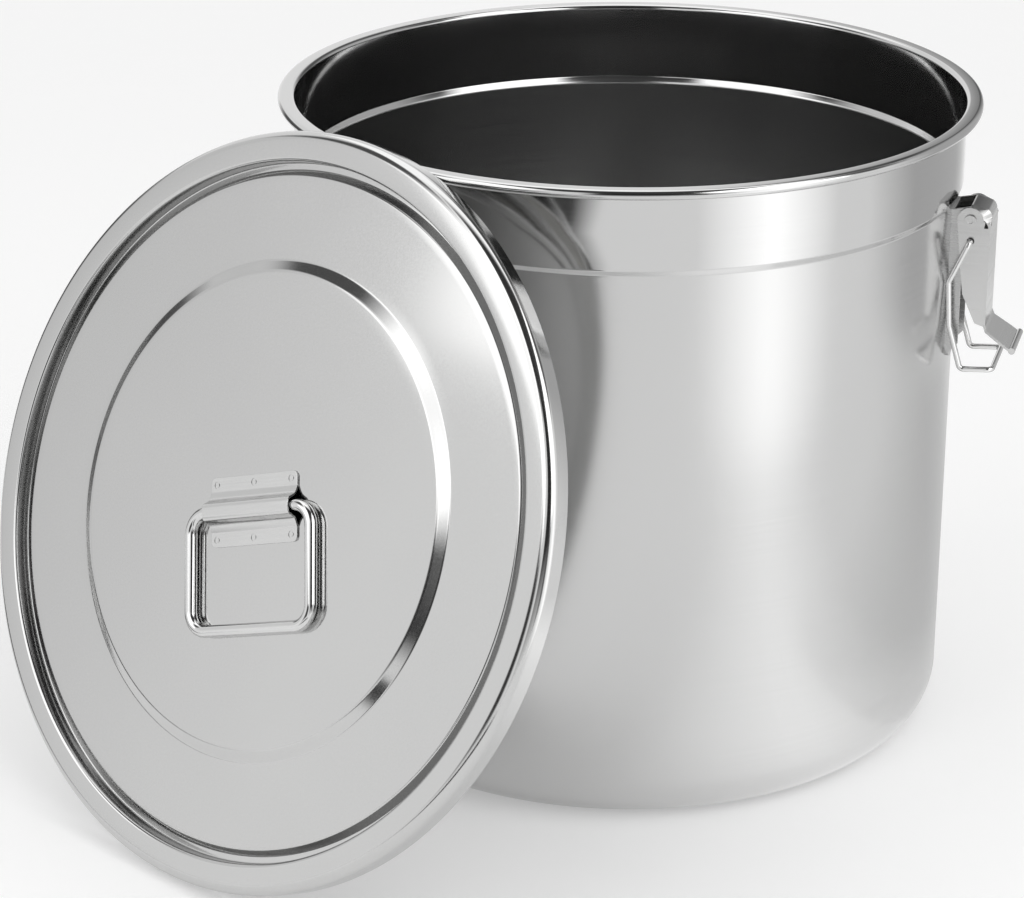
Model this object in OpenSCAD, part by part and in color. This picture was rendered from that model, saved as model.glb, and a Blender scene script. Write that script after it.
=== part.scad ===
// Sheet-steel rice bin with a lift-off lid, a drop handle and two wire latches.
// The base centre is the origin, +Z is up, and the lid leans on the rim at the front left.

/* [Bin] */
// Outer radius of the straight wall
bin_r = 165.5; // [130:0.5:210]
// Height from the floor to the top of the rim
bin_h = 327.4; // [260:0.2:400]
// Thickness of the bin's sheet
bin_t = 1; // [0.6:0.1:1.4]
// Outer radius of the corner between wall and bottom
corner_r = 25; // [15:1:32]
// How far the band under the rim stands out from the wall
band_out = 1.8; // [1:0.1:3]
// Depth of the shoulder below the rim
shoulder_drop = 43.4; // [36:0.2:60]
// Height of the sloping shoulder
shoulder_h = 3; // [2:0.5:6]
// How far the curled rim stands out from the wall
rim_out = 9.5; // [8:0.5:14]
// Height of the curled rim
rim_curl_h = 4.8; // [4:0.1:6]

/* [Lid] */
// How far the lid reaches past the rim
lid_over = 4; // [3:0.5:8]
// Thickness of the lid's sheet
lid_t = 0.9; // [0.6:0.1:1.2]
// Height of the skirt
skirt_h = 12; // [9:0.5:16]
// Rounding between the skirt and the flange
flange_round = 5; // [3:0.5:6]
// Rounding between the flange and the wall that drops into the mouth
inner_round = 4; // [3:0.1:4.5]
// Depth of the groove inside the flange
groove_depth = 8; // [6:0.5:9]
// Width of the groove's floor
groove_w = 3.5; // [2.5:0.5:6]
// Depth of the plate inside the groove
plate_depth = 4.6; // [3.5:0.1:5.5]
// Outer radius of the raised middle
disc_r = 118; // [70:1:125]
// Depth of the raised middle
disc_depth = 2.2; // [1:0.1:3]
// Thickness of the sealing ring under the flange
seal_t = 1.2; // [1:0.1:2.5]
// Width of the sealing ring
seal_w = 5; // [3:0.5:5]

/* [Leaning lid] */
// Direction in which the lid faces, from the front towards the right
lean_az = -41; // [-60:1:-20]
// How far the lid tips back from upright
lean_tilt = 21.6; // [15:0.1:30]
// How far the lid is turned in its own plane
lean_roll = 19.4; // [0:0.1:30]
// Direction of the lid's centre, measured from the way it faces
lean_side = -3.5; // [-6:0.5:6]

/* [Handle] */
// Thickness of the handle's rod
rod_d = 6; // [4:0.5:8]
// Width of the handle between the middles of its legs
handle_w = 77.5; // [66:0.5:100]
// Reach of the handle from its pivot to the middle of its grip
handle_reach = 56; // [40:1:80]
// Radius of the handle's corners, along the middle of the rod
handle_corner = 10; // [7:0.5:14]
// Length of the strap that holds the handle
strap_l = 55.4; // [40:0.2:60]
// Width of the strap across both flanges
strap_w = 33; // [28:0.5:44]
// Thickness of the strap
strap_t = 0.9; // [0.7:0.1:1.2]

/* [Latches] */
// Direction of the first latch, from the front towards the right
latch_az = 76; // [60:1:90]
// Number of latches, evenly spaced
latch_n = 2; // [2:1:2]
// Depth of the lever's pivot below the rim
pivot_drop = 50.4; // [48:0.2:60]
// Distance of the pivot from the wall
pivot_out = 9.3; // [9:0.1:12]
// Distance of the wire's hole below the pivot
hole_drop = 10.3; // [9:0.1:12]
// Outer width of the lever
lever_w = 25.6; // [22:0.2:30]
// Length of the lever from its pivot to the finger lip
lever_l = 65.5; // [55:0.5:75]
// Depth of the lever's channel in front of the pivot
lever_face = 10; // [9:0.5:13]
// Thickness of the latch's sheet
latch_t = 1.2; // [1:0.1:1.5]
// Diameter of the pivot rivet
rivet_d = 4; // [3:0.5:5]
// Diameter of the latch's wire
wire_d = 2.8; // [2:0.1:3.2]
// Turn of the wire between hanging and hooked over the lid
wire_turn = 176; // [170:1:178]

/* [Fits] */
// Gap between pieces that move past each other
gap = 0.3; // [0.25:0.05:0.4]
// Radial play of a pin in its hole
play = 0.08; // [0.05:0.01:0.1]
// Gap all round between the lid's inner wall and the mouth
mouth_gap = 0.8; // [0.6:0.1:1.2]

/* [Hidden] */
$fn = 128;
cut = 1;
bend_lap = 0.25;
bend_more = 0.1;
steel = [0.78, 0.78, 0.77];
bright = [0.86, 0.86, 0.86];
rubber = [0.85, 0.85, 0.82];

band_r = bin_r + band_out;
rim_r = bin_r + rim_out;
curl_r = rim_curl_h / 2;
lip_r = curl_r + 0.1;
shoulder_z = bin_h - shoulder_drop;

lid_r = rim_r + lid_over;
groove_out = band_r - bin_t - mouth_gap - lid_t;
groove_bend = 1.2;
groove_in = groove_out - groove_w;
plate_r = groove_in - 3;
disc_slope = 5.5;
flange_in = groove_out + inner_round;
seal_in = flange_in + 0.2;
seal_out = seal_in + seal_w;
closed_z = bin_h + gap + seal_t + lid_t;

pin_h = rod_d / 2 + gap;
arch_half = rod_d / 2 + gap + strap_t;
arch_top = pin_h + arch_half;
foot_in = arch_half + 5.4;
weld_y = (strap_w / 2 + foot_in) / 2;
weld_x = strap_l / 2 - 3.7;

pivot = [bin_r + pivot_out, bin_h - pivot_drop];
hole = pivot + [0.6, -hole_drop];
wire_half = lever_w / 2 + wire_d / 2 + 2.8;
lip_half = wire_half - wire_d / 2 - 2 * gap;
ear_r = 6.4;
head_d = rivet_d + 2;
head_t = 1;
base_half = lever_w / 2 - latch_t - 2 * gap;

// A point turned about the origin of a plane
function turned(p, a) = [p[0] * cos(a) - p[1] * sin(a), p[0] * sin(a) + p[1] * cos(a)];

// Points of an arc in a plane
function arc(c, r, a0, a1, n = 12) =
    [for (i = [0:n]) let (a = a0 + (a1 - a0) * i / n) c + r * [cos(a), sin(a)]];

// Unit vector to the right of the way from a to b
function right_of(a, b) = [b[1] - a[1], a[0] - b[0]] / norm(b - a);

// A path moved to its right by t, with mitred corners
function beside(p, t) = [for (i = [0:len(p) - 1])
    let (m = right_of(p[max(i - 1, 0)], p[max(i, 1)]),
         n = right_of(p[min(i, len(p) - 2)], p[min(i + 1, len(p) - 1)]))
    p[i] + t * (m + n) / (1 + m * n)];

function backwards(p) = [for (i = [len(p) - 1:-1:0]) p[i]];

// Section of a sheet whose face follows the path and whose thickness lies to its right
module sheet_section(path, t) {
    polygon(concat(path, backwards(beside(path, t))));
}

// Round bar along a path of points. Its bends are a hair thicker and close over the straight runs.
module bent_bar(points, d, bend_r) {
    dirs = [for (i = [1:len(points) - 1]) (points[i] - points[i - 1]) / norm(points[i] - points[i - 1])];
    bends = len(dirs) - 1;
    turns = [for (i = [1:bends]) acos(dirs[i - 1] * dirs[i])];
    sides = [for (i = [1:bends]) cross(dirs[i - 1], dirs[i]) / sin(turns[i - 1])];
    trims = concat([0], [for (a = turns) bend_r * tan(a / 2) - bend_lap], [0]);
    for (i = [0:bends]) {
        across = cross(sides[min(i, bends - 1)], dirs[i]);
        framed(points[i] + dirs[i] * trims[i], across, cross(dirs[i], across), dirs[i])
            cylinder(d = d, h = norm(points[i + 1] - points[i]) - trims[i] - trims[i + 1], $fn = 32);
    }
    for (i = [0:bends - 1]) {
        inward = cross(sides[i], dirs[i]);
        start = points[i + 1] - dirs[i] * bend_r * tan(turns[i] / 2);
        framed(start + inward * bend_r, -inward, dirs[i], sides[i])
            rotate_extrude(angle = turns[i], $fn = 96)
                translate([bend_r, 0]) circle(d = d + bend_more, $fn = 32);
    }
}

// Children moved to a point, with their X, Y and Z along the given directions
module framed(p, x, y, z) {
    multmatrix([[x[0], y[0], z[0], p[0]], [x[1], y[1], z[1], p[1]], [x[2], y[2], z[2], p[2]], [0, 0, 0, 1]])
        children();
}

// Bin

// Outside of the shell from the middle of the bottom to the free edge of the curled rim
shell_path = concat(
    [[0, 0]],
    arc([bin_r - corner_r, corner_r], corner_r, -90, 0, 16),
    [[bin_r, shoulder_z], [band_r, shoulder_z + shoulder_h]],
    backwards(arc([band_r + lip_r - bin_t, bin_h - lip_r], lip_r - bin_t, 90, 180, 6)),
    arc([rim_r - curl_r, bin_h - curl_r], curl_r - bin_t, 90, -90, 12),
    [[band_r + 1.3, bin_h - rim_curl_h + bin_t]]);

module bin_shell() {
    color(bright) rotate_extrude($fn = 180) sheet_section(shell_path, -bin_t);
}

// Lid, drawn closed with the top of its flange at zero

// Upper face of the lid from its middle to the foot of the skirt
lid_path = concat(
    [[0, -disc_depth], [disc_r - disc_slope, -disc_depth],
     [disc_r, -plate_depth], [plate_r, -plate_depth], [groove_in, -groove_depth]],
    arc([groove_out - groove_bend, groove_bend - groove_depth], groove_bend, -90, 0, 4),
    arc([flange_in, -inner_round], inner_round, 180, 90, 8),
    arc([lid_r - flange_round, -flange_round], flange_round, 90, 0, 10),
    [[lid_r, -skirt_h]]);

// The lid's own directions when it leans: across, up its slope and out of its face
face_out = [cos(lean_tilt) * sin(lean_az), -cos(lean_tilt) * cos(lean_az), sin(lean_tilt)];
face_side = [cos(lean_az), sin(lean_az), 0];
face_up = cross(face_out, face_side);
lean_z = lid_r * cos(lean_tilt) + skirt_h * sin(lean_tilt);

function lean_centre(d) = [d * sin(lean_az + lean_side), -d * cos(lean_az + lean_side), lean_z];

// Underside of the lid with its seal, from the middle to the outside of the skirt
lid_under = let (sheet = beside(lid_path, lid_t)) concat(
    [for (p = sheet) if (p[0] < seal_in) p],
    [[seal_in, -lid_t - seal_t], [seal_out, -lid_t - seal_t]],
    [for (p = sheet) if (p[0] > seal_out) p],
    [[lid_r, -skirt_h], [lid_r, -flange_round]]);

// A point seen from a lid centred at c: distance from its axis and height over its flange
function on_lid(p, c) = let (q = p - c, h = q * face_out) [norm(q - h * face_out), h];

function off_segment(p, a, b) =
    let (ab = b - a, t = min(1, max(0, (p - a) * ab / (ab * ab)))) norm(p - a - t * ab);

// Distance of a point below the underside from it, and less than nothing above it
function off_under(p) = p[0] < lid_r && p[1] > lookup(p[0], lid_under) ? -1 :
    min([for (i = [1:len(lid_under) - 1]) off_segment(p, lid_under[i - 1], lid_under[i])]);

// Least distance between the leaning lid and the rim when the lid's centre is d from the bin's axis
function rim_gap(d) = min([for (a = [-36:0.75:36]) for (r = [band_r - bin_t + lip_r, rim_r - curl_r])
    off_under(on_lid([r * sin(lean_az + a), -r * cos(lean_az + a), bin_h - curl_r], lean_centre(d)))]) - curl_r;

// Least distance between the skirt's lower edge and the bin's band, where the edge is below the rim
function band_gap(d) = min([for (a = [50:2:130])
    let (p = lean_centre(d) + lid_r * (cos(a) * face_side + sin(a) * face_up) - skirt_h * face_out)
    p[2] < bin_h ? norm([p[0], p[1]]) - band_r : rim_r]);

// Distance at which the lid just clears the bin, found by halving
function lean_search(near, far, n = 18) = n == 0 ? far :
    let (mid = (near + far) / 2, clear = min(rim_gap(mid), band_gap(mid)))
    clear < gap ? lean_search(mid, far, n - 1) : lean_search(near, mid, n - 1);

lid_centre = lean_centre(lean_search(rim_r / 2, rim_r + lid_r));

module leaning() {
    translate(lid_centre)
        rotate([0, 0, lean_az]) rotate([90 - lean_tilt, 0, 0]) rotate([0, 0, lean_roll]) children();
}

module lid_pan() {
    color(steel) leaning() rotate_extrude($fn = 180) sheet_section(lid_path, lid_t);
}

module lid_seal() {
    color(rubber) leaning()
        rotate_extrude($fn = 180) translate([seal_in, -lid_t - seal_t]) square([seal_w, seal_t]);
}

// Handle, drawn on the closed lid with its pivot along X

// Outside of half the strap's section, from its edge to its crown
strap_half = concat(
    [[-strap_w / 2, strap_t], [-foot_in, strap_t], [-foot_in + 1.2, strap_t + 0.5]],
    [[-arch_half - 1.6, pin_h - 0.6], [-arch_half - 0.6, pin_h + 1.4]],
    arc([-arch_half + 2.6, arch_top - 3], 3, 160, 90, 6));

module strap_outline() {
    path = concat(strap_half, [for (p = backwards(strap_half)) [-p[0], p[1]]]);
    rotate([90, 0, 90]) linear_extrude(strap_l, center = true) sheet_section(path, strap_t);
}

module handle_strap() {
    color(steel) leaning() translate([0, 0, -disc_depth]) difference() {
        strap_outline();
        for (x = [-weld_x, 0, weld_x]) {
            for (y = [-weld_y, weld_y]) {
                translate([x, y, strap_t - 0.25]) difference() {
                    cylinder(d = 3.6, h = cut, $fn = 24);
                    translate([0, 0, -cut]) cylinder(d = 2.4, h = 3 * cut, $fn = 24);
                }
            }
        }
    }
}

module handle_bail() {
    end_x = strap_l / 2 - 16;
    side_x = handle_w / 2;
    points = [[-end_x, 0, 0], [-side_x, 0, 0], [-side_x, -handle_reach, 0],
              [side_x, -handle_reach, 0], [side_x, 0, 0], [end_x, 0, 0]];
    color(bright) leaning() translate([0, 0, pin_h - disc_depth]) bent_bar(points, rod_d, handle_corner);
}

// Latches, drawn with X away from the bin's axis, Y along the wall and Z up

module at_latch(i) {
    rotate([0, 0, latch_az - 90 + i * 360 / latch_n]) children();
}

// A plate standing across the wall, from its outline in X and Z
module upright(y, t) {
    translate([0, y + t, 0]) rotate([90, 0, 0]) linear_extrude(t) children();
}

module base_side() {
    back = bin_r + latch_t / 2;
    foot = bin_r + 6;
    top = pivot[1] + 4.5;
    low = pivot[1] - lever_l - 5;
    difference() {
        union() {
            translate(pivot) circle(ear_r, $fn = 64);
            polygon([[back, top], [pivot[0] - 2, pivot[1] + 6], [pivot[0] + 4, pivot[1] - 5],
                     [foot, pivot[1] - 16], [foot, low + 6], [back, low]]);
        }
        translate(pivot) circle(d = rivet_d, $fn = 48);
    }
}

module latch_base(i) {
    top = pivot[1] + 4.5;
    low = pivot[1] - lever_l - 9;
    color(steel) at_latch(i) {
        intersection() {
            rotate([0, 0, -10]) rotate_extrude(angle = 20, $fn = 360)
                translate([bin_r, low]) square([latch_t, top - low]);
            rotate([90, 0, 90]) linear_extrude(bin_r + 10) {
                translate([0, low + base_half]) circle(base_half, $fn = 64);
                translate([-base_half, low + base_half]) square([2 * base_half, top - low - base_half]);
            }
        }
        for (y = [-base_half, base_half - latch_t]) {
            upright(y, latch_t) base_side();
        }
    }
}

module latch_rivet(i) {
    shank = lever_w / 2 + gap;
    color(bright) at_latch(i) translate([pivot[0], 0, pivot[1]]) rotate([90, 0, 0]) {
        cylinder(d = rivet_d, h = 2 * shank, center = true, $fn = 48);
        for (s = [-1, 1]) {
            translate([0, 0, s * (shank + head_t / 2)]) difference() {
                cylinder(d = head_d, h = head_t, center = true, $fn = 48);
                translate([0, 0, s * head_t * 0.75]) cylinder(d = 2.4, h = head_t, center = true, $fn = 24);
            }
        }
    }
}

// Outside of the lever's face from its hood down to the finger lip
lever_path = [for (p = concat(
    [[-0.5, 6.4], [0.6, 6.9]],
    arc([lever_face - 5, 1], 5, 55, 0, 6),
    [[lever_face, -lever_l + 13], [lever_face + 1.2, -lever_l + 9.8], [lever_face + 13.5, -lever_l + 1.5]]))
    pivot + p];

module cheek() {
    face = lever_face - latch_t / 2;
    shape = [[-ear_r, 0], [-3.6, -26], [-2, -38], [4.7, 13 - lever_l], [face, 11.5 - lever_l], [face, -1], [ear_r, 0]];
    difference() {
        translate(pivot) union() {
            circle(ear_r, $fn = 64);
            polygon(shape);
        }
        translate(pivot) circle(d = rivet_d + 2 * play, $fn = 48);
        translate(hole) circle(d = wire_d + 2 * play, $fn = 48);
        translate(pivot + [lever_face - 3.2, -3.4]) polygon([[0, 0], [2.6, 0], [0.6, 3.4]]);
    }
}

module latch_lever(i) {
    hood_half = lever_w / 3;
    lip = pivot + [lever_face + 14, 1 - lever_l];
    color(steel) at_latch(i) {
        intersection() {
            upright(-lip_half, 2 * lip_half) sheet_section(lever_path, latch_t);
            rotate([90, 0, 90]) linear_extrude(2 * bin_r)
                polygon([for (s = [1, -1]) for (p = s > 0 ?
                    [[hood_half, pivot[1] + 20], [hood_half, pivot[1] + 1], [lever_w / 2, pivot[1] - 1],
                     [lever_w / 2, pivot[1] - lever_l + 13], [lip_half, pivot[1] - lever_l + 4],
                     [lip_half, pivot[1] - lever_l - 10]] :
                    [[lip_half, pivot[1] - lever_l - 10], [lip_half, pivot[1] - lever_l + 4],
                     [lever_w / 2, pivot[1] - lever_l + 13], [lever_w / 2, pivot[1] - 1],
                     [hood_half, pivot[1] + 1], [hood_half, pivot[1] + 20]])
                    [s * p[0], p[1]]]);
        }
        for (y = [-lever_w / 2, lever_w / 2 - latch_t]) {
            upright(y, latch_t) cheek();
        }
        translate([lip[0], 0, lip[1]]) rotate([90, 0, 0])
            cylinder(r = 1.7, h = 2 * lip_half, center = true, $fn = 32);
    }
}

// The wire's bends, from its places when it is hooked over the closed lid
module latch_wire(i) {
    over_z = closed_z + gap + wire_d / 2 + 0.1;
    shoulder = turned([lid_r + wire_d / 2 + 0.8, over_z] - hole, -wire_turn);
    bar = turned([groove_out + 0.8, over_z] - hole, -wire_turn);
    wall = sqrt(pow(bin_r, 2) - pow(wire_half, 2)) - hole[0];
    close = wall + wire_d / 2 + gap + 0.1;
    side = [[close, -20.5], [close + 1.3, -43], shoulder];
    half = concat([[bar, wire_half]], [for (p = backwards(side)) [p, wire_half]],
                  [[[0, 0], wire_half], [[0, 0], lever_w / 2 - latch_t - gap]]);
    right = [for (h = half) [hole[0] + h[0][0], h[1], hole[1] + h[0][1]]];
    left = [for (p = right) [p[0], -p[1], p[2]]];
    color(bright) at_latch(i) bent_bar(concat(backwards(left), right), wire_d, 2.6);
}

module right_latch_base() latch_base(0);
module right_latch_rivet() latch_rivet(0);
module right_latch_lever() latch_lever(0);
module right_latch_wire() latch_wire(0);
module left_latch_base() latch_base(1);
module left_latch_rivet() latch_rivet(1);
module left_latch_lever() latch_lever(1);
module left_latch_wire() latch_wire(1);

bin_shell();
lid_pan();
lid_seal();
handle_strap();
handle_bail();
right_latch_base();
right_latch_rivet();
right_latch_lever();
right_latch_wire();
left_latch_base();
left_latch_rivet();
left_latch_lever();
left_latch_wire();
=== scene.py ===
"""Sheet-steel storage bin with a lift-off lid, a drop handle and two wire latches.

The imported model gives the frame. Each class below models one sub-assembly over it and dresses it.
Sizes of the pieces are in millimetres, sizes of the studio in metres, and angles in degrees.
"""

import logging
import math
from contextlib import contextmanager
from dataclasses import dataclass
from enum import Enum
from typing import Callable, Iterable, Iterator, Sequence

import bpy
from mathutils import Euler, Matrix, Vector

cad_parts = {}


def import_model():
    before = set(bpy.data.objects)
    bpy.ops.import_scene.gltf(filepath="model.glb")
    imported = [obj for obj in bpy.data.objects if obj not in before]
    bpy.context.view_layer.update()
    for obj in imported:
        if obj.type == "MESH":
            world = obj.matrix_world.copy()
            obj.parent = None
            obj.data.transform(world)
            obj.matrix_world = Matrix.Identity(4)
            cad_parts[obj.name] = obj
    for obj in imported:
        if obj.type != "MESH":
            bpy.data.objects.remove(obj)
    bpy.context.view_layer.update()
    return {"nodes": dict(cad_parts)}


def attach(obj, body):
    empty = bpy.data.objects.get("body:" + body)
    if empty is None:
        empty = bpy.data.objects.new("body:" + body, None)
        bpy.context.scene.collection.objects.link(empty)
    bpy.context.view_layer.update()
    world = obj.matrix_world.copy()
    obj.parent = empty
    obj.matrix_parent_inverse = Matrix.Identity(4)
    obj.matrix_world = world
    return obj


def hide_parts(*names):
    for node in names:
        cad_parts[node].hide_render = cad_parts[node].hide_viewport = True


LOG = logging.getLogger("steel_bin")
MM = 0.001
SPUN_GAP = 0.01
ROD_GAP = 0.005
NODE_GAP = 0.002

Point = tuple[float, float]
Triple = tuple[float, float, float]


class Slot(Enum):
    """Material slots of the record."""

    SHELL = "shell_steel"
    LID = "lid_steel"
    FITTING = "fitting_steel"
    WIRE = "wire_steel"
    SEAL = "seal"


class Grain(Enum):
    """Directions in which a sheet or rod was brushed, as the pattern's stretch along X, Y and Z."""

    ROUND = (5.0, 5.0, 1100.0)
    FINE = (900.0, 900.0, 900.0)
    ALONG = (60.0, 1300.0, 1300.0)


class Side(Enum):
    """The two latches, by the direction of each from the front towards the right."""

    RIGHT = 76.0
    LEFT = 256.0


# Drawing of outlines


def arc(centre: Point, radius: float, start: float, end: float, steps: int = 12) -> list[Point]:
    """Lists the points of an arc in a plane.

    Args:
        centre: Middle of the arc.
        radius: Its radius.
        start: First angle.
        end: Last angle.
        steps: Number of straight pieces.

    Returns:
        The points from the first angle to the last.
    """
    turns = [math.radians(start + (end - start) * i / steps) for i in range(steps + 1)]
    return [(centre[0] + radius * math.cos(a), centre[1] + radius * math.sin(a)) for a in turns]


def eased(points: Sequence[Point], radii: dict[int, float], steps: int = 6) -> list[Point]:
    """Rounds some corners of an open outline.

    Args:
        points: Corners of the outline.
        radii: Bend radius for each rounded corner, by its place in the outline.
        steps: Number of straight pieces in each bend.

    Returns:
        The outline with its bends.
    """
    out: list[Point] = []
    for i, point in enumerate(points):
        if i not in radii:
            out.append(point)
            continue
        here, radius = Vector(point), radii[i]
        back = (Vector(points[i - 1]) - here).normalized()
        on = (Vector(points[i + 1]) - here).normalized()
        half = back.angle(on) / 2
        reach = radius / math.tan(half)
        middle = here + (back + on).normalized() * radius / math.sin(half)
        first, last = here + back * reach, here + on * reach
        start = math.atan2(first.y - middle.y, first.x - middle.x)
        end = math.atan2(last.y - middle.y, last.x - middle.x)
        sweep = (end - start + math.pi) % math.tau - math.pi
        for k in range(steps + 1):
            a = start + sweep * k / steps
            out.append((middle.x + radius * math.cos(a), middle.y + radius * math.sin(a)))
    return out


def upright(points: Iterable[Point]) -> list[Vector]:
    """Stands an outline of radius and height in the XZ plane, ready to be spun round Z."""
    return [Vector((r, 0, z)) for r, z in points]


# Work at the bench


def clear_selection() -> None:
    """Leaves edit mode and deselects every object."""
    if bpy.context.object is not None and bpy.context.object.mode != "OBJECT":
        bpy.ops.object.mode_set(mode="OBJECT")
    bpy.ops.object.select_all(action="DESELECT")


def take(piece: bpy.types.Object) -> None:
    """Selects one object alone and makes it the active one.

    Args:
        piece: The object.
    """
    clear_selection()
    piece.select_set(True)
    bpy.context.view_layer.objects.active = piece


@contextmanager
def editing(piece: bpy.types.Object) -> Iterator[None]:
    """Opens one object in edit mode with all of its mesh selected, and leaves edit mode at the end.

    Args:
        piece: The object.

    Yields:
        Nothing, once the mesh is selected.
    """
    take(piece)
    bpy.ops.object.mode_set(mode="EDIT")
    bpy.ops.mesh.select_all(action="SELECT")
    yield
    bpy.ops.object.mode_set(mode="OBJECT")


def named(name: str) -> bpy.types.Object:
    """Names the newest object and its mesh.

    Args:
        name: Name for both.

    Returns:
        The object.
    """
    piece = bpy.context.object
    piece.name = name
    piece.data.name = name
    return piece


def draw_line(name: str, points: Iterable[Vector]) -> bpy.types.Object:
    """Draws a chain of edges by extruding one vertex from point to point.

    Args:
        name: Name of the new object.
        points: Points of the chain.

    Returns:
        The new object, in object mode.
    """
    way = [Vector(p) * MM for p in points]
    clear_selection()
    bpy.ops.mesh.primitive_plane_add(size=MM)
    piece = named(name)
    with editing(piece):
        bpy.ops.mesh.merge(type="CENTER")
        bpy.ops.transform.translate(value=way[0])
        for a, b in zip(way, way[1:]):
            bpy.ops.mesh.extrude_vertices_move(TRANSFORM_OT_translate={"value": b - a})
    return piece


def spin_round(piece: bpy.types.Object, steps: int) -> None:
    """Spins a drawn line once round the Z axis and closes its seam and pole.

    Args:
        piece: The drawn line.
        steps: Number of stations round the axis.
    """
    with editing(piece):
        bpy.ops.mesh.spin(steps=steps, angle=math.tau, center=(0, 0, 0), axis=(0, 0, 1))
        bpy.ops.mesh.select_all(action="SELECT")
        bpy.ops.mesh.remove_doubles(threshold=SPUN_GAP * MM)
        bpy.ops.mesh.normals_make_consistent(inside=False)


def face_towards(piece: bpy.types.Object,
                 wanted: Callable[[bpy.types.MeshPolygon], float]) -> None:
    """Turns the whole surface over where most of its faces look the wrong way.

    Args:
        piece: The open sheet.
        wanted: Positive for a face that looks the right way.
    """
    if sum(wanted(face) * face.area for face in piece.data.polygons) < 0:
        with editing(piece):
            bpy.ops.mesh.flip_normals()


def thicken(piece: bpy.types.Object, thickness: float) -> None:
    """Gives a sheet its thickness, behind its drawn face.

    Args:
        piece: The sheet.
        thickness: Its thickness.
    """
    take(piece)
    wall = piece.modifiers.new("sheet thickness", "SOLIDIFY")
    wall.thickness = thickness * MM
    wall.offset = -1.0
    wall.use_even_offset = True
    wall.use_quality_normals = True
    bpy.ops.object.modifier_apply(modifier=wall.name)


def soften(piece: bpy.types.Object, width: float, angle: float) -> None:
    """Rounds the sharp edges of a piece with a small bevel.

    Args:
        piece: The piece.
        width: Width of the bevel.
        angle: Least angle of an edge that is rounded.
    """
    take(piece)
    edge = piece.modifiers.new("broken edges", "BEVEL")
    edge.width = width * MM
    edge.segments = 2
    edge.limit_method = "ANGLE"
    edge.angle_limit = math.radians(angle)
    edge.use_clamp_overlap = True
    edge.harden_normals = False
    bpy.ops.object.modifier_apply(modifier=edge.name)


def cut_away(piece: bpy.types.Object, cutter: bpy.types.Object) -> None:
    """Cuts the shape of a cutter out of a piece and throws the cutter away.

    Args:
        piece: The piece.
        cutter: The closed cutter, in its place.
    """
    take(piece)
    cut = piece.modifiers.new("cut", "BOOLEAN")
    cut.operation = "DIFFERENCE"
    cut.solver = "EXACT"
    cut.object = cutter
    bpy.ops.object.modifier_apply(modifier=cut.name)
    bpy.data.objects.remove(cutter)


def shade(piece: bpy.types.Object, angle: float) -> None:
    """Shades a piece smooth, except across edges sharper than an angle.

    Args:
        piece: The piece.
        angle: The angle.
    """
    take(piece)
    bpy.ops.object.shade_smooth_by_angle(angle=math.radians(angle))


def even_shading(piece: bpy.types.Object) -> None:
    """Lets the wide faces of a piece set its shading, so that cuts in a flat face leave it flat.

    Args:
        piece: The piece, already shaded by angle.
    """
    take(piece)
    weigh = piece.modifiers.new("even shading", "WEIGHTED_NORMAL")
    weigh.keep_sharp = True
    weigh.weight = 60
    bpy.ops.object.modifier_apply(modifier=weigh.name)


def place(piece: bpy.types.Object, where: Matrix) -> None:
    """Moves a piece to its place and puts that place into its mesh.

    Args:
        piece: The piece, drawn in its own directions.
        where: Its place, in metres.
    """
    take(piece)
    piece.matrix_world = where
    bpy.ops.object.transform_apply(location=True, rotation=True, scale=True)


def copy_of(piece: bpy.types.Object, name: str) -> bpy.types.Object:
    """Copies a piece with a mesh of its own.

    Args:
        piece: The piece or node to copy.
        name: Name of the copy.

    Returns:
        The copy, riding on nothing.
    """
    take(piece)
    bpy.ops.object.duplicate(linked=False)
    twin = named(name)
    for key in list(twin.keys()):
        if key.startswith("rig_"):
            del twin[key]
    twin.parent = None
    twin.matrix_world = Matrix.Identity(4)
    return twin


def bend_rod(name: str, points: Sequence[Vector], diameter: float, bend: float,
             sides: int) -> bpy.types.Object:
    """Draws a round rod by extruding a circle along its straights and spinning it round its bends.

    Args:
        name: Name of the rod.
        points: Corners of the rod's middle line.
        diameter: Its diameter.
        bend: Bend radius of the middle line.
        sides: Number of faces round the rod.

    Returns:
        The rod.
    """
    way = [Vector(p) * MM for p in points]
    runs = [(b - a).normalized() for a, b in zip(way, way[1:])]
    turns = [a.angle(b) for a, b in zip(runs, runs[1:])]
    trims = [0.0] + [bend * MM * math.tan(turn / 2) for turn in turns] + [0.0]
    clear_selection()
    bpy.ops.mesh.primitive_circle_add(
        vertices=sides, radius=diameter * MM / 2, fill_type="NOTHING", location=way[0],
        rotation=runs[0].to_track_quat("Z", "Y").to_euler())
    rod = named(name)
    bpy.ops.object.transform_apply(location=True, rotation=True, scale=True)
    with editing(rod):
        for i, run in enumerate(runs):
            length = (way[i + 1] - way[i]).length - trims[i] - trims[i + 1]
            bpy.ops.mesh.extrude_region_move(TRANSFORM_OT_translate={"value": run * length})
            if i < len(turns):
                side = run.cross(runs[i + 1]).normalized()
                middle = way[i + 1] - run * trims[i + 1] + side.cross(run) * bend * MM
                # The spin turns against the right-hand rule here, hence the minus.
                bpy.ops.mesh.spin(steps=max(6, int(math.degrees(turns[i]) / 6)), angle=turns[i],
                                  center=middle, axis=-side)
        bpy.ops.mesh.select_all(action="SELECT")
        bpy.ops.mesh.remove_doubles(threshold=ROD_GAP * MM)
        bpy.ops.mesh.select_all(action="SELECT")
        bpy.ops.mesh.fill_holes(sides=0)
        bpy.ops.mesh.select_all(action="SELECT")
        bpy.ops.mesh.normals_make_consistent(inside=False)
    shade(rod, 40.0)
    return rod


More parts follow.
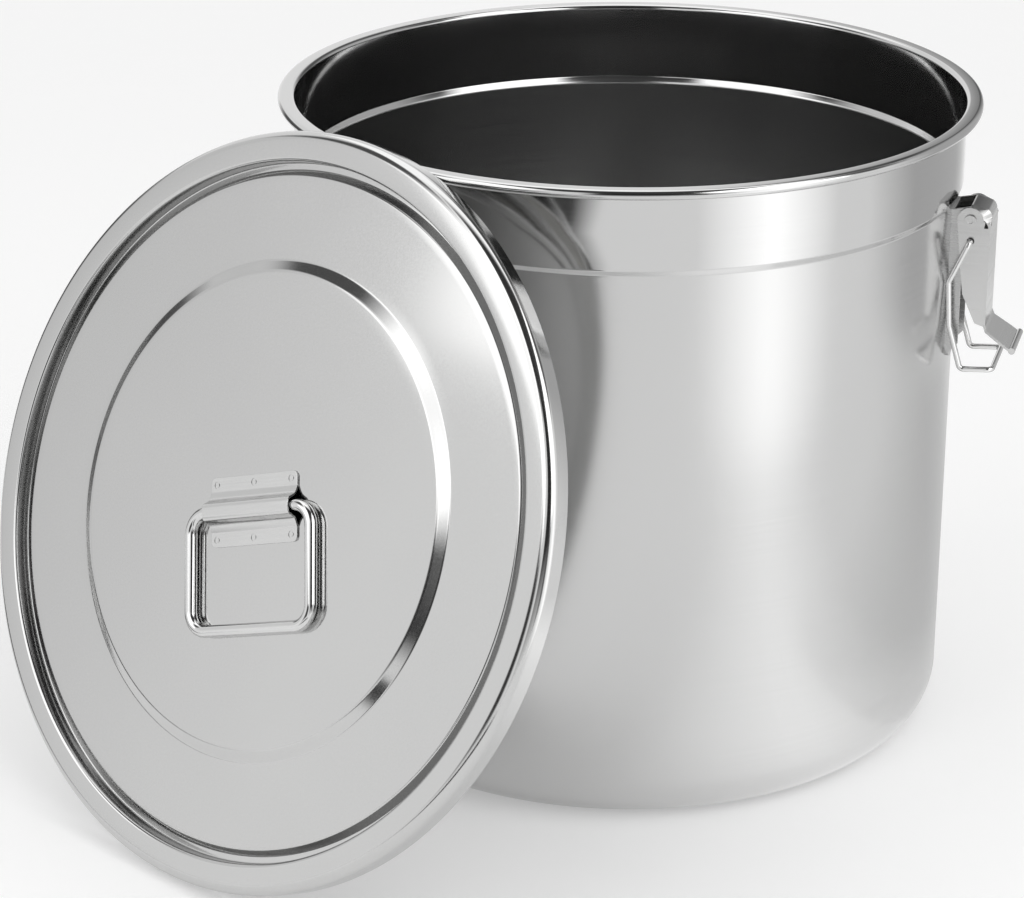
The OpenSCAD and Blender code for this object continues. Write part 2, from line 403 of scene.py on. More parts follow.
def hand_over(piece: bpy.types.Object, body: str, node: str,
              finish: "Steel | Rubber") -> None:
    """Dresses a piece and lets it stand for its node on its body.

    Args:
        piece: The finished piece.
        body: Body that it rides on.
        node: Node that it replaces.
        finish: Finish that it is given.
    """
    piece.data.materials.clear()
    piece.data.materials.append(finish.material())
    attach(piece, body)
    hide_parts(node)
    LOG.info("%s rides on %s for %s, %d faces", piece.name, body, node, len(piece.data.polygons))


# Finishes


class Graph:
    """Adds and links shader nodes in one tree."""

    def __init__(self, tree: bpy.types.NodeTree) -> None:
        """Keeps the tree.

        Args:
            tree: The tree of a material or of the surroundings.
        """
        self.tree = tree

    def add(self, kind: str, **settings: object) -> bpy.types.Node:
        """Adds one node.

        Args:
            kind: The node's type name.
            **settings: Its properties by name.

        Returns:
            The node.
        """
        node = self.tree.nodes.new(kind)
        for key, value in settings.items():
            setattr(node, key, value)
        return node

    def link(self, start: bpy.types.NodeSocket, end: bpy.types.NodeSocket) -> None:
        """Joins two sockets.

        Args:
            start: Where the value comes from.
            end: Where it goes.
        """
        self.tree.links.new(start, end)

    def math(self, operation: str, *inputs: object) -> bpy.types.NodeSocket:
        """Adds a Math node.

        Args:
            operation: What it works out.
            *inputs: Sockets or numbers.

        Returns:
            Its result.
        """
        node = self.add("ShaderNodeMath", operation=operation)
        for socket, value in zip(node.inputs, inputs):
            if isinstance(value, bpy.types.NodeSocket):
                self.link(value, socket)
            else:
                socket.default_value = value
        return node.outputs[0]

    def remap(self, value: bpy.types.NodeSocket, low: float, high: float, to_low: float,
              to_high: float) -> bpy.types.NodeSocket:
        """Stretches a value from one range to another.

        Args:
            value: The value.
            low: Lower end of what comes in.
            high: Upper end of what comes in.
            to_low: What the lower end becomes.
            to_high: What the upper end becomes.

        Returns:
            The stretched value.
        """
        node = self.add("ShaderNodeMapRange")
        self.link(value, node.inputs["Value"])
        ends = {"From Min": low, "From Max": high, "To Min": to_low, "To Max": to_high}
        for key, number in ends.items():
            node.inputs[key].default_value = number
        return node.outputs["Result"]

    def direct_rays(self) -> bpy.types.NodeSocket:
        """Tells the rays of the eye, off gloss and through glass from all others.

        Returns:
            1 for such a ray and 0 for any other.
        """
        ray = self.add("ShaderNodeLightPath")
        return self.math("MAXIMUM", ray.outputs["Is Camera Ray"], self.math(
            "MAXIMUM", ray.outputs["Is Glossy Ray"], ray.outputs["Is Transmission Ray"]))


class Nodes(Graph):
    """The shader nodes of one new material."""

    def __init__(self, name: str) -> None:
        """Starts a material with its own shader and output.

        Args:
            name: Name of the material.
        """
        self.material = bpy.data.materials.new(name)
        self.material.use_nodes = True
        super().__init__(self.material.node_tree)
        self.shader = self.tree.nodes["Principled BSDF"]
        self.output = self.tree.nodes["Material Output"]

    def place(self) -> bpy.types.NodeSocket:
        """Gives the place of a point on the piece."""
        return self.add("ShaderNodeTexCoord").outputs["Object"]

    def mapped(self, vector: bpy.types.NodeSocket, kind: str,
               **values: Triple) -> bpy.types.NodeSocket:
        """Moves, turns or stretches a place.

        Args:
            vector: The place.
            kind: POINT for the pattern's coordinates, TEXTURE for the pattern itself.
            **values: The Mapping node's inputs by name.

        Returns:
            The new place.
        """
        node = self.add("ShaderNodeMapping", vector_type=kind)
        for key, value in values.items():
            node.inputs[key].default_value = value
        self.link(vector, node.inputs["Vector"])
        return node.outputs["Vector"]

    def noise(self, vector: bpy.types.NodeSocket, scale: float, detail: float = 2.0,
              roughness: float = 0.5) -> bpy.types.NodeSocket:
        """Adds a noise pattern.

        Args:
            vector: The place that it reads.
            scale: Number of its waves in a metre.
            detail: Number of finer layers.
            roughness: Strength of the finer layers.

        Returns:
            The pattern, around 0.5.
        """
        node = self.add("ShaderNodeTexNoise")
        settings = {"Scale": scale, "Detail": detail, "Roughness": roughness}
        for key, value in settings.items():
            node.inputs[key].default_value = value
        self.link(vector, node.inputs["Vector"])
        return node.outputs["Fac"]

    def tint(self, amount: bpy.types.NodeSocket, low: Iterable[float],
             high: Iterable[float]) -> None:
        """Gives the shader a colour between two.

        Args:
            amount: 0 for the first colour, 1 for the second.
            low: The first colour.
            high: The second colour.
        """
        tone = self.add("ShaderNodeMix", data_type="RGBA")
        tone.inputs[6].default_value = (*low, 1.0)
        tone.inputs[7].default_value = (*high, 1.0)
        self.link(amount, tone.inputs[0])
        self.link(tone.outputs[2], self.shader.inputs["Base Color"])

    def emboss(self, height: bpy.types.NodeSocket, strength: float, depth: float) -> None:
        """Raises the surface a little by a pattern.

        Args:
            height: The pattern.
            strength: Strength of the bump, up to 1.
            depth: Height of the bump.
        """
        bump = self.add("ShaderNodeBump")
        bump.inputs["Strength"].default_value = strength
        bump.inputs["Distance"].default_value = depth * MM
        self.link(height, bump.inputs["Height"])
        self.link(bump.outputs["Normal"], self.shader.inputs["Normal"])

    def finish_with(self, shader: bpy.types.NodeSocket) -> None:
        """Gives the material its last shader."""
        self.link(shader, self.output.inputs["Surface"])


@dataclass(frozen=True)
class Steel:
    """Stainless steel with fine brushing, soft clouding and a little bump.

    The pattern lies in the piece's own directions, which `origin`, in metres, and `turn`, in
    radians, give for a piece that leans. Above the height `polish_above` it is more polished.
    """

    name: str
    colour: Triple
    roughness: float
    spread: float
    grain: Grain
    bump: float
    cloud: float
    polish_above: float | None = None
    polish: float = 0.45
    origin: Triple = (0.0, 0.0, 0.0)
    turn: Triple = (0.0, 0.0, 0.0)

    def material(self) -> bpy.types.Material:
        """Builds the material, or finds it where it is already built.

        Returns:
            The material.
        """
        if self.name in bpy.data.materials:
            return bpy.data.materials[self.name]
        n = Nodes(self.name)
        own = n.mapped(n.place(), "TEXTURE", Location=self.origin, Rotation=self.turn)
        hairs = n.noise(n.mapped(own, "POINT", Scale=self.grain.value), 1.0, 3.0, 0.6)
        clouds = n.noise(own, 9.0, 4.0, 0.55)
        cloudy = self.spread * 0.6
        uneven = n.math("ADD", n.remap(hairs, 0.3, 0.7, -self.spread, self.spread),
                        n.remap(clouds, 0.3, 0.7, -cloudy, cloudy))
        rough = n.math("ADD", self.base_roughness(n, own), uneven)
        n.link(n.math("MAXIMUM", rough, 0.03), n.shader.inputs["Roughness"])
        mixed = n.math("MULTIPLY", n.math("ADD", clouds, hairs), 0.5)
        n.tint(n.remap(mixed, 0.35, 0.65, 0.0, 1.0),
               [c * (1 - self.cloud) for c in self.colour],
               [min(1.0, c * (1 + self.cloud)) for c in self.colour])
        n.emboss(hairs, self.bump, 0.02)
        n.shader.inputs["Metallic"].default_value = 1.0
        return n.material

    def base_roughness(self, n: Nodes, own: bpy.types.NodeSocket) -> bpy.types.NodeSocket | float:
        """Gives the plain roughness, lower on the polished part where there is one.

        Args:
            n: Nodes of the material.
            own: Place in the piece's own directions.

        Returns:
            A number, or the result of the nodes that work it out.
        """
        if self.polish_above is None:
            return self.roughness
        parts = n.add("ShaderNodeSeparateXYZ")
        n.link(own, parts.inputs["Vector"])
        start, end = (self.polish_above - 2.0) * MM, (self.polish_above + 1.0) * MM
        return n.remap(parts.outputs["Z"], start, end, self.roughness,
                       self.roughness * self.polish)


@dataclass(frozen=True)
class Rubber:
    """Pale silicone with a soft sheen, fine pores and slight clouding."""

    name: str
    colour: Triple = (0.72, 0.72, 0.69)

    def material(self) -> bpy.types.Material:
        """Builds the material.

        Returns:
            The material.
        """
        n = Nodes(self.name)
        place_of = n.place()
        pores = n.noise(place_of, 900.0, 3.0)
        n.tint(n.noise(place_of, 25.0), [c * 0.93 for c in self.colour], self.colour)
        n.link(n.remap(pores, 0.3, 0.7, 0.42, 0.58), n.shader.inputs["Roughness"])
        n.emboss(pores, 0.15, 0.05)
        return n.material


# Sub-assemblies


@dataclass
class Bin:
    """The drawn bin with its flat bottom, wall, band and curled rim."""

    wall_r: float = 165.5
    corner_r: float = 25.0
    bottom_rings: tuple[float, ...] = (0.0, 60.0, 110.0)
    bottom_edge: float = 8.0
    wall_rings: tuple[float, ...] = (80.0, 150.0, 220.0)
    step_ring: float = 262.0
    step_bends: Point = (2.4, 2.0)
    shoulder_z: float = 284.0
    band_z: float = 287.0
    band_r: float = 167.3
    band_ring: float = 305.0
    height: float = 327.4
    lip_r: float = 2.5
    curl_centre: float = 172.6
    curl_r: float = 2.4
    curl_end: Point = (168.6, 323.6)
    sheet: float = 1.0
    stations: int = 240
    finish: Steel = Steel("bin steel", colour=(0.58, 0.58, 0.578), roughness=0.2, spread=0.015,
                          grain=Grain.ROUND, bump=0.012, cloud=0.012, polish_above=285.5)

    def outline(self) -> list[Point]:
        """Lists the outside from the middle of the bottom to the free edge of the curled rim.

        Returns:
            Points as radius and height.
        """
        t, c, top = self.sheet, self.corner_r, self.height
        bottom = [(r, 0.0) for r in self.bottom_rings]
        bottom.append((self.wall_r - c - self.bottom_edge, 0.0))
        corner = arc((self.wall_r - c, c), c, -90, 0, 16)
        wall = [(self.wall_r, z) for z in self.wall_rings]
        low, high = self.step_bends
        step = eased([(self.wall_r, self.step_ring), (self.wall_r, self.shoulder_z),
                      (self.band_r, self.band_z), (self.band_r, self.band_ring)],
                     {1: low, 2: high}, 5)
        lip = arc((self.band_r + self.lip_r - t, top - self.lip_r), self.lip_r - t, 180, 90, 8)
        curl = arc((self.curl_centre, top - self.curl_r), self.curl_r - t, 90, -90, 16)
        return bottom + corner + wall + step + lip + curl + [self.curl_end]

    def outwards(self, face: bpy.types.MeshPolygon) -> float:
        """Tells how far a face of the bottom or lower wall looks away from the axis.

        Args:
            face: A face of the spun sheet.

        Returns:
            Positive where it looks outwards, and 0 above the shoulder.
        """
        if face.center.z >= self.shoulder_z * MM:
            return 0.0
        return face.normal.dot(Vector((face.center.x, face.center.y, 0.0)))

    def build(self) -> None:
        """Spins the bin's sheet and dresses it."""
        piece = draw_line("bin_sheet", upright(self.outline()))
        spin_round(piece, self.stations)
        face_towards(piece, self.outwards)
        thicken(piece, self.sheet)
        shade(piece, 50.0)
        hand_over(piece, "bin", "bin_shell", self.finish)


@dataclass
class Lid:
    """The pressed lid with its seal, drawn closed, with the top of its flange at zero."""

    centre: Triple = (-173.294, -176.345, 170.847)
    azimuth: float = -41.0
    tilt: float = 21.6
    roll: float = 19.4
    outer_r: float = 179.0
    flange_round: float = 5.0
    skirt: float = 12.0
    disc_depth: float = 2.2
    disc_rings: tuple[float, ...] = (0.0, 35.0, 70.0, 100.0)
    disc_slope: tuple[float, ...] = (106.0, 112.5, 118.0, 124.0)
    disc_bends: Point = (5.0, 3.5)
    plate_depth: float = 4.6
    plate_rings: tuple[float, ...] = (135.0, 148.0)
    groove_slope: tuple[float, ...] = (154.0, 158.1, 161.1, 162.6)
    groove_bends: Point = (1.6, 0.5)
    groove_depth: float = 8.0
    groove_r: float = 164.3
    groove_fillet: float = 0.7
    wall_round: float = 1.8
    sheet: float = 0.9
    seal_in: float = 168.8
    seal_out: float = 173.8
    seal_t: float = 1.2
    seal_round: float = 0.45
    stations: int = 256

    def where(self) -> Matrix:
        """Gives the place at which the lid leans on the bin.

        Returns:
            The place in metres.
        """
        turn = (Matrix.Rotation(math.radians(self.azimuth), 4, "Z")
                @ Matrix.Rotation(math.radians(90 - self.tilt), 4, "X")
                @ Matrix.Rotation(math.radians(self.roll), 4, "Z"))
        return Matrix.Translation(Vector(self.centre) * MM) @ turn

    def finish(self, name: str, **values: object) -> Steel:
        """Gives a steel finish whose pattern lies in the lid's own directions.

        Args:
            name: Name of the finish.
            **values: The finish's other values.

        Returns:
            The finish.
        """
        turn: Euler = self.where().to_euler()
        return Steel(name, origin=tuple(v * MM for v in self.centre), turn=tuple(turn), **values)

    def outline(self) -> list[Point]:
        """Lists the upper face from the middle to the foot of the skirt.

        Returns:
            Points as radius and height.
        """
        disc, plate, low = -self.disc_depth, -self.plate_depth, -self.groove_depth
        middle = [(r, disc) for r in self.disc_rings]
        slope = eased(list(zip(self.disc_slope, (disc, disc, plate, plate))),
                      dict(enumerate(self.disc_bends, 1)), 8)
        rings = [(r, plate) for r in self.plate_rings]
        edge = eased(list(zip(self.groove_slope, (plate, plate, low, low))),
                     dict(enumerate(self.groove_bends, 1)), 6)
        fillet, bend = self.groove_fillet, self.wall_round
        groove = arc((self.groove_r - fillet, low + fillet), fillet, -90, 0, 8)
        wall = arc((self.groove_r + bend, -bend), bend, 180, 90, 12)
        flange = arc((self.outer_r - self.flange_round, -self.flange_round),
                     self.flange_round, 90, 0, 18)
        skirt = [(self.outer_r, -self.skirt)]
        return middle + slope + rings + edge + groove + wall + flange + skirt

    def in_groove_wall(self, face: bpy.types.MeshPolygon) -> bool:
        """Tells whether a face of the spun sheet belongs to the upright wall of the groove.

        Args:
            face: A face of the sheet before it leans on the bin.

        Returns:
            Whether it does.
        """
        away = Vector((face.center.x, face.center.y, 0.0))
        inside = away.length < (self.groove_r + self.sheet) * MM
        return inside and face.normal.dot(away.normalized()) < -0.8

    def build(self) -> None:
        """Spins the lid's sheet, leans it on the bin and dresses it.

        The under faces are duller, and darker as painted shade; the groove's wall is darker as
        painted shade.
        """
        piece = draw_line("lid_sheet", upright(self.outline()))
        spin_round(piece, self.stations)
        face_towards(piece, lambda f: f.normal.z)
        thicken(piece, self.sheet)
        shade(piece, 50.0)
        under = [face.index for face in piece.data.polygons if face.normal.z < -0.2]
        groove = [face.index for face in piece.data.polygons if self.in_groove_wall(face)]
        place(piece, self.where())
        hand_over(piece, "lid", "lid_pan", self.finish(
            "lid steel", colour=(0.585, 0.585, 0.582), roughness=0.1, spread=0.02,
            grain=Grain.FINE, bump=0.012, cloud=0.02))
        # The under faces' darker colour is painted shade; their higher roughness is real.
        underside = self.finish(
            "lid underside painted shade steel", colour=(0.4, 0.4, 0.398), roughness=0.32, spread=0.05,
            grain=Grain.FINE, bump=0.05, cloud=0.03)
        # The groove wall's darker colour is painted shade, standing in for the dark reflections in
        # the groove.
        groove_painted_shade = self.finish(
            "lid groove painted shade steel", colour=(0.3, 0.3, 0.298), roughness=0.16, spread=0.02,
            grain=Grain.FINE, bump=0.012, cloud=0.02)
        for number, (finish, faces) in enumerate(((underside, under), (groove_painted_shade, groove)), 1):
            piece.data.materials.append(finish.material())
            for index in faces:
                piece.data.polygons[index].material_index = number

    def build_seal(self) -> None:
        """Spins the seal ring under the flange, with its lower corners rounded."""
        top, low = -self.sheet, -self.sheet - self.seal_t
        ring = eased([(self.seal_out, top), (self.seal_out, low),
                      (self.seal_in, low), (self.seal_in, top)],
                     {1: self.seal_round, 2: self.seal_round}, 4)
        piece = draw_line("seal_ring", upright(ring + ring[:1]))
        spin_round(piece, self.stations)
        shade(piece, 40.0)
        place(piece, self.where())
        hand_over(piece, "lid", "lid_seal", Rubber("pale silicone"))


@dataclass
class Handle:
    """The strap welded to the lid and the bail that turns in it.

    `foot_line` runs across the strap from the edge of a foot to the top of its flank, and `crown`
    is the middle of the round that follows. `weld_ring` gives a weld ring's inner and outer radius.
    """

    lid: Lid
    strap_half: float = 27.7
    strap_t: float = 0.9
    foot_line: tuple[Point, ...] = (
        (-16.5, 0.9), (-9.6, 0.9), (-7.2, 1.9), (-5.8, 2.9), (-4.75, 4.7))
    foot_bend: float = 1.4
    crown: Point = (-1.6, 4.5)
    crown_r: float = 3.0
    foot_corner: float = 2.6
    corner_y: float = 16.0
    weld_x: float = 24.0
    weld_y: float = 13.05
    weld_ring: Point = (1.2, 1.8)
    weld_depth: float = 0.22
    rod_d: float = 6.0
    rod_z: float = 1.1
    side_x: float = 38.75
    end_x: float = 11.7
    reach: float = 56.0
    rod_bend: float = 10.0

    def section(self) -> list[Point]:
        """Lists the outside of the strap's section from edge to edge.

        Returns:
            Points across the strap and above the lid's middle.
        """
        half = eased(self.foot_line, {1: self.foot_bend}, 4)
        half += arc(self.crown, self.crown_r, 165, 90, 10)
        return half + [(-y, z) for y, z in reversed(half)]

    def build_strap(self) -> None:
        """Extrudes the strap, rounds the corners of its feet and sinks its weld rings."""
        floor = self.lid.disc_depth
        piece = draw_line("strap_plate", [
            Vector((-self.strap_half, y, z - floor)) for y, z in self.section()])
        with editing(piece):
            bpy.ops.mesh.extrude_region_move(
                TRANSFORM_OT_translate={"value": (2 * self.strap_half * MM, 0, 0)})
            bpy.ops.mesh.select_all(action="SELECT")
            bpy.ops.mesh.normals_make_consistent(inside=False)
        face_towards(piece, lambda f: f.normal.z)
        thicken(piece, self.strap_t)
        self.round_feet(piece)
        soften(piece, 0.16, 50.0)
        self.sink_welds(piece)
        shade(piece, 32.0)
        even_shading(piece)
        place(piece, self.lid.where())
        hand_over(piece, "lid", "handle_strap", self.lid.finish(
            "strap steel", colour=(0.64, 0.64, 0.637), roughness=0.17, spread=0.04,
            grain=Grain.ALONG, bump=0.05, cloud=0.02))

    def round_feet(self, piece: bpy.types.Object) -> None:
        """Rounds the four upright corners of the feet.

        Args:
            piece: The strap, flat on the lid's middle.
        """
        take(piece)
        x, y = (self.strap_half - 0.1) * MM, self.corner_y * MM
        for edge in piece.data.edges:
            a, b = (piece.data.vertices[i].co for i in edge.vertices)
            edge.select = abs(a.z - b.z) > 0.5 * MM and all(
                abs(v.x) > x and abs(v.y) > y for v in (a, b))
        for face in piece.data.polygons:
            face.select = False
        bpy.context.tool_settings.mesh_select_mode = (False, True, False)
        bpy.ops.object.mode_set(mode="EDIT")
        bpy.ops.mesh.bevel(offset=self.foot_corner * MM, segments=6, affect="EDGES")
        bpy.ops.object.mode_set(mode="OBJECT")
        bpy.context.tool_settings.mesh_select_mode = (True, False, False)

    def sink_welds(self, piece: bpy.types.Object) -> None:
        """Cuts a shallow ring into the feet at every weld.

        Args:
            piece: The strap.
        """
        face = self.strap_t - self.lid.disc_depth
        low, high = face - self.weld_depth, face + 0.5
        inner, outer = self.weld_ring
        first = draw_line("weld_cutter", upright(
            [(inner, low), (outer, low), (outer, high), (inner, high), (inner, low)]))
        spin_round(first, 24)
        for x in (-self.weld_x, 0.0, self.weld_x):
            for y in (-self.weld_y, self.weld_y):
                cutter = copy_of(first, "weld_ring")
                place(cutter, Matrix.Translation(Vector((x, y, 0)) * MM))
                cut_away(piece, cutter)
        bpy.data.objects.remove(first)

    def build_bail(self) -> None:
        """Bends the bail and hangs it in the strap."""
        half = [(self.end_x, 0), (self.side_x, 0), (self.side_x, -self.reach)]
        corners = [(-x, y) for x, y in half] + half[::-1]
        piece = bend_rod("bail_rod", [Vector((x, y, self.rod_z)) for x, y in corners],
                         self.rod_d, self.rod_bend, 36)
        place(piece, self.lid.where())
        hand_over(piece, "handle", "handle_bail", self.lid.finish(
            "bail steel", colour=(0.68, 0.68, 0.677), roughness=0.09, spread=0.02,
            grain=Grain.FINE, bump=0.01, cloud=0.015))


@dataclass
class Latch:
    """One wire latch: base, rivet, lever and wire, drawn with X away from the bin's axis.

    `hole` and `pivot` are the wire's and the lever's turning lines. `leg` runs from the hole down
    one side of the wire. `hood_edge` and `ear_edge` bound the web at a corner of the lever's hood,
    as seen from the pivot.
    """

    side: Side
    nodes: dict[str, bpy.types.Object]
    hole: Point = (175.4, 266.7)
    hole_r: float = 1.85
    hole_depth: float = 2.4
    pivot: Point = (174.8, 277.0)
    cheek: float = 12.2
    web_out: float = 12.7
    hood_half: float = 8.5
    hood_t: float = 0.9
    hood_edge: tuple[Point, ...] = ((0.6, 6.8), *arc((5.0, 1.0), 4.95, 55, 0, 6), (9.95, -1.2))
    ear_edge: tuple[Point, ...] = (*arc((0.0, 0.0), 6.3, 88, 8, 6), (9.35, -1.6))
    edge: float = 0.22
    rivet_edge: float = 0.15
    wire_d: float = 2.8
    wire_half: float = 17.0
    wire_bend: float = 2.6
    pin_end: float = 11.3
    leg: tuple[Point, ...] = (
        (0.0, 0.0), (-8.975, -20.5), (-7.675, -43.0), (-1.26, -65.1), (14.5, -64.0))
    # The base's colour is darker than the pressed steel of rivet and lever: painted shade for the
    # hollow between its ears.
    base_painted_shade_steel: Steel = Steel("base steel painted shade", colour=(0.47, 0.47, 0.468), roughness=0.26,
                              spread=0.06, grain=Grain.ROUND, bump=0.06, cloud=0.05)
    pressed_steel: Steel = Steel("pressed steel", colour=(0.6, 0.6, 0.597), roughness=0.22,
                                 spread=0.06, grain=Grain.ROUND, bump=0.06, cloud=0.05)
    wire_steel: Steel = Steel("wire steel", colour=(0.69, 0.69, 0.687), roughness=0.1,
                              spread=0.02, grain=Grain.FINE, bump=0.01, cloud=0.015)

    def where(self) -> Matrix:
        """Gives the turn of this latch about the bin's axis."""
        return Matrix.Rotation(math.radians(self.side.value - 90), 4, "Z")

    def own(self, part: str) -> str:
        """Puts this latch's side before the name of a part."""
        return f"{self.side.name.lower()}_{part}"

    def rough_out(self, part: str) -> bpy.types.Object:
        """Copies a pressed part's node and clears its mesh of needless edges.

        Args:
            part: Name of the part.

        Returns:
            The copy.
        """
        piece = copy_of(self.nodes[self.own(f"latch_{part}")], self.own(f"{part}_pressing"))
        with editing(piece):
            bpy.ops.mesh.remove_doubles(threshold=NODE_GAP * MM)
            bpy.ops.mesh.dissolve_limited(angle_limit=math.radians(1.0))
        return piece

    def dress(self, piece: bpy.types.Object, body: str, part: str, angle: float,
              finish: Steel) -> None:
        """Shades a pressed part evenly and dresses it.

        Args:
            piece: The part.
            body: Body that it rides on.
            part: Name of the part.
            angle: Least angle of an edge that stays sharp to the eye.
            finish: Its finish.
        """
        shade(piece, angle)
        even_shading(piece)
        hand_over(piece, body, self.own(f"latch_{part}"), finish)

    def build_fixed(self, part: str, width: float, finish: Steel) -> None:
        """Builds a pressed part that is fixed to the bin.

        Args:
            part: Name of the part.
            width: Width of its broken edges.
            finish: Its finish.
        """
        piece = self.rough_out(part)
        soften(piece, width, 40.0)
        self.dress(piece, "bin", part, 32.0, finish)

    def build_lever(self) -> None:
        """Builds the lever, with stamped holes and with webs at the corners of its hood."""
        piece = self.rough_out("lever")
        self.widen_wire_holes(piece)
        soften(piece, self.edge, 40.0)
        self.close_hood(piece)
        self.dress(piece, self.own("lever"), "lever", 42.0, self.pressed_steel)

    def widen_wire_holes(self, piece: bpy.types.Object) -> None:
        """Opens the holes in the lever's cheeks to the loose fit of a stamped part.

        Args:
            piece: The lever.
        """
        x, z = self.hole
        for y in (-self.cheek, self.cheek):
            clear_selection()
            bpy.ops.mesh.primitive_cylinder_add(
                vertices=32, radius=self.hole_r * MM, depth=self.hole_depth * MM,
                location=(x * MM, y * MM, z * MM), rotation=(math.pi / 2, 0, 0))
            punch = named("punch")
            bpy.ops.object.transform_apply(location=True, rotation=True, scale=True)
            place(punch, self.where())
            cut_away(piece, punch)

    def hood_web(self, side: float) -> bpy.types.Object:
        """Bridges the open corner between the hood and the round end of one cheek.

        Args:
            side: -1 for one cheek and 1 for the other.

        Returns:
            The web.
        """
        px, pz = self.pivot
        half = [self.hood_half] * (len(self.hood_edge) - 1) + [self.web_out]
        top = draw_line("hood_web", [
            Vector((px + x, side * y, pz + z)) for (x, z), y in zip(self.hood_edge, half)])
        draw_line("hood_web_low", [
            Vector((px + x, side * self.web_out, pz + z)) for x, z in self.ear_edge])
        top.select_set(True)
        bpy.context.view_layer.objects.active = top
        bpy.ops.object.join()
        with editing(top):
            bpy.ops.mesh.bridge_edge_loops()
            bpy.ops.mesh.select_all(action="SELECT")
            bpy.ops.mesh.normals_make_consistent(inside=False)
        face_towards(top, lambda f: f.normal.x + f.normal.z)
        thicken(top, self.hood_t)
        place(top, self.where())
        return top

    def close_hood(self, piece: bpy.types.Object) -> None:
        """Closes the two open corners of the lever's hood.

        Args:
            piece: The lever.
        """
        webs = [self.hood_web(side) for side in (-1.0, 1.0)]
        take(piece)
        for web in webs:
            web.select_set(True)
        bpy.ops.object.join()

    def build_wire(self) -> None:
        """Bends the wire loop that hangs in the lever."""
        x, z = self.hole
        points = [Vector((x, self.pin_end, z))]
        points += [Vector((x + out, self.wire_half, z + up)) for out, up in self.leg]
        points += [Vector((p.x, -p.y, p.z)) for p in reversed(points)]
        piece = bend_rod(self.own("wire_loop"), points, self.wire_d, self.wire_bend, 24)
        place(piece, self.where())
        hand_over(piece, self.own("wire"), self.own("latch_wire"), self.wire_steel)

    def build(self) -> None:
        """Builds and dresses the four parts of the latch."""
        # The base gets the darker colour of painted shade.
        self.build_fixed("base", self.edge, self.base_painted_shade_steel)
        self.build_fixed("rivet", self.rivet_edge, self.pressed_steel)
        self.build_lever()
        self.build_wire()


# Studio


@dataclass(frozen=True)
class Panel:
    """A studio panel that is seen only in reflections.

    It stands at `distance` from the bin's axis, at `azimuth` from the front towards the right,
    and `tip` leans it over. `level` is its brightness. It is plain up to `core` of its width and
    `end_core` of its length from the middle, and fades to clear from there to its edges at 0.5.
    """

    name: str
    azimuth: float
    distance: float
    height: float
    size: Point
    level: float
    tip: float = 0.0
    core: float = 0.2
    end_core: float = 0.3

    def material(self) -> bpy.types.Material:
        """Builds the panel's glow, which fades towards its edges.

        Returns:
            The material.
        """
        n = Nodes(self.name)
        n.tree.nodes.remove(n.shader)
        glow = n.add("ShaderNodeEmission")
        glow.inputs["Color"].default_value = (self.level, self.level, self.level, 1.0)
        glow.inputs["Strength"].default_value = 1.0
        parts = n.add("ShaderNodeSeparateXYZ")
        n.link(n.place(), parts.inputs["Vector"])
        across = n.remap(n.math("ABSOLUTE", parts.outputs["X"]), self.core, 0.5, 1.0, 0.0)
        along = n.remap(n.math("ABSOLUTE", parts.outputs["Y"]), self.end_core, 0.5, 1.0, 0.0)
        mix = n.add("ShaderNodeMixShader")
        n.link(n.math("MULTIPLY", across, along), mix.inputs[0])
        n.link(n.add("ShaderNodeBsdfTransparent").outputs[0], mix.inputs[1])
        n.link(glow.outputs[0], mix.inputs[2])
        n.finish_with(mix.outputs[0])
        return n.material

    def build(self) -> None:
        """Stands the panel up so that it faces the bin."""
        clear_selection()
        a = math.radians(self.azimuth)
        bpy.ops.mesh.primitive_plane_add(
            size=1.0, rotation=(math.radians(90 - self.tip), 0, a),
            location=(math.sin(a) * self.distance, -math.cos(a) * self.distance, self.height))
        panel = named(self.name)
        panel.scale = (*self.size, 1.0)
        panel.data.materials.append(self.material())
        panel.visible_camera = False
        panel.visible_diffuse = False
        panel.visible_shadow = False


@dataclass(frozen=True)
class Lamp:
    """A soft square lamp that looks at the bin."""

    name: str
    spot: Triple
    size: float
    watts: float
    aim: Triple = (0.0, 0.0, 0.15)

    def build(self) -> None:
        """Hangs the lamp."""
        lamp = bpy.data.lights.new(self.name, "AREA")
        lamp.shape = "SQUARE"
        lamp.size = self.size
        lamp.energy = self.watts
        holder = set_up(self.name, lamp, self.spot, self.aim)
        holder.visible_camera = False


def set_up(name: str, data: bpy.types.ID, spot: Triple, aim: Triple) -> bpy.types.Object:
    """Puts a lamp or camera in its place and points it.

    Args:
        name: Name of the object.
        data: The lamp or camera.
        spot: Its place.
        aim: The point that it looks at.

    Returns:
        The object.
    """
    holder = bpy.data.objects.new(name, data)
    bpy.context.scene.collection.objects.link(holder)
    holder.location = spot
    holder.rotation_euler = (Vector(aim) - Vector(spot)).to_track_quat("-Z", "Y").to_euler()
    return holder


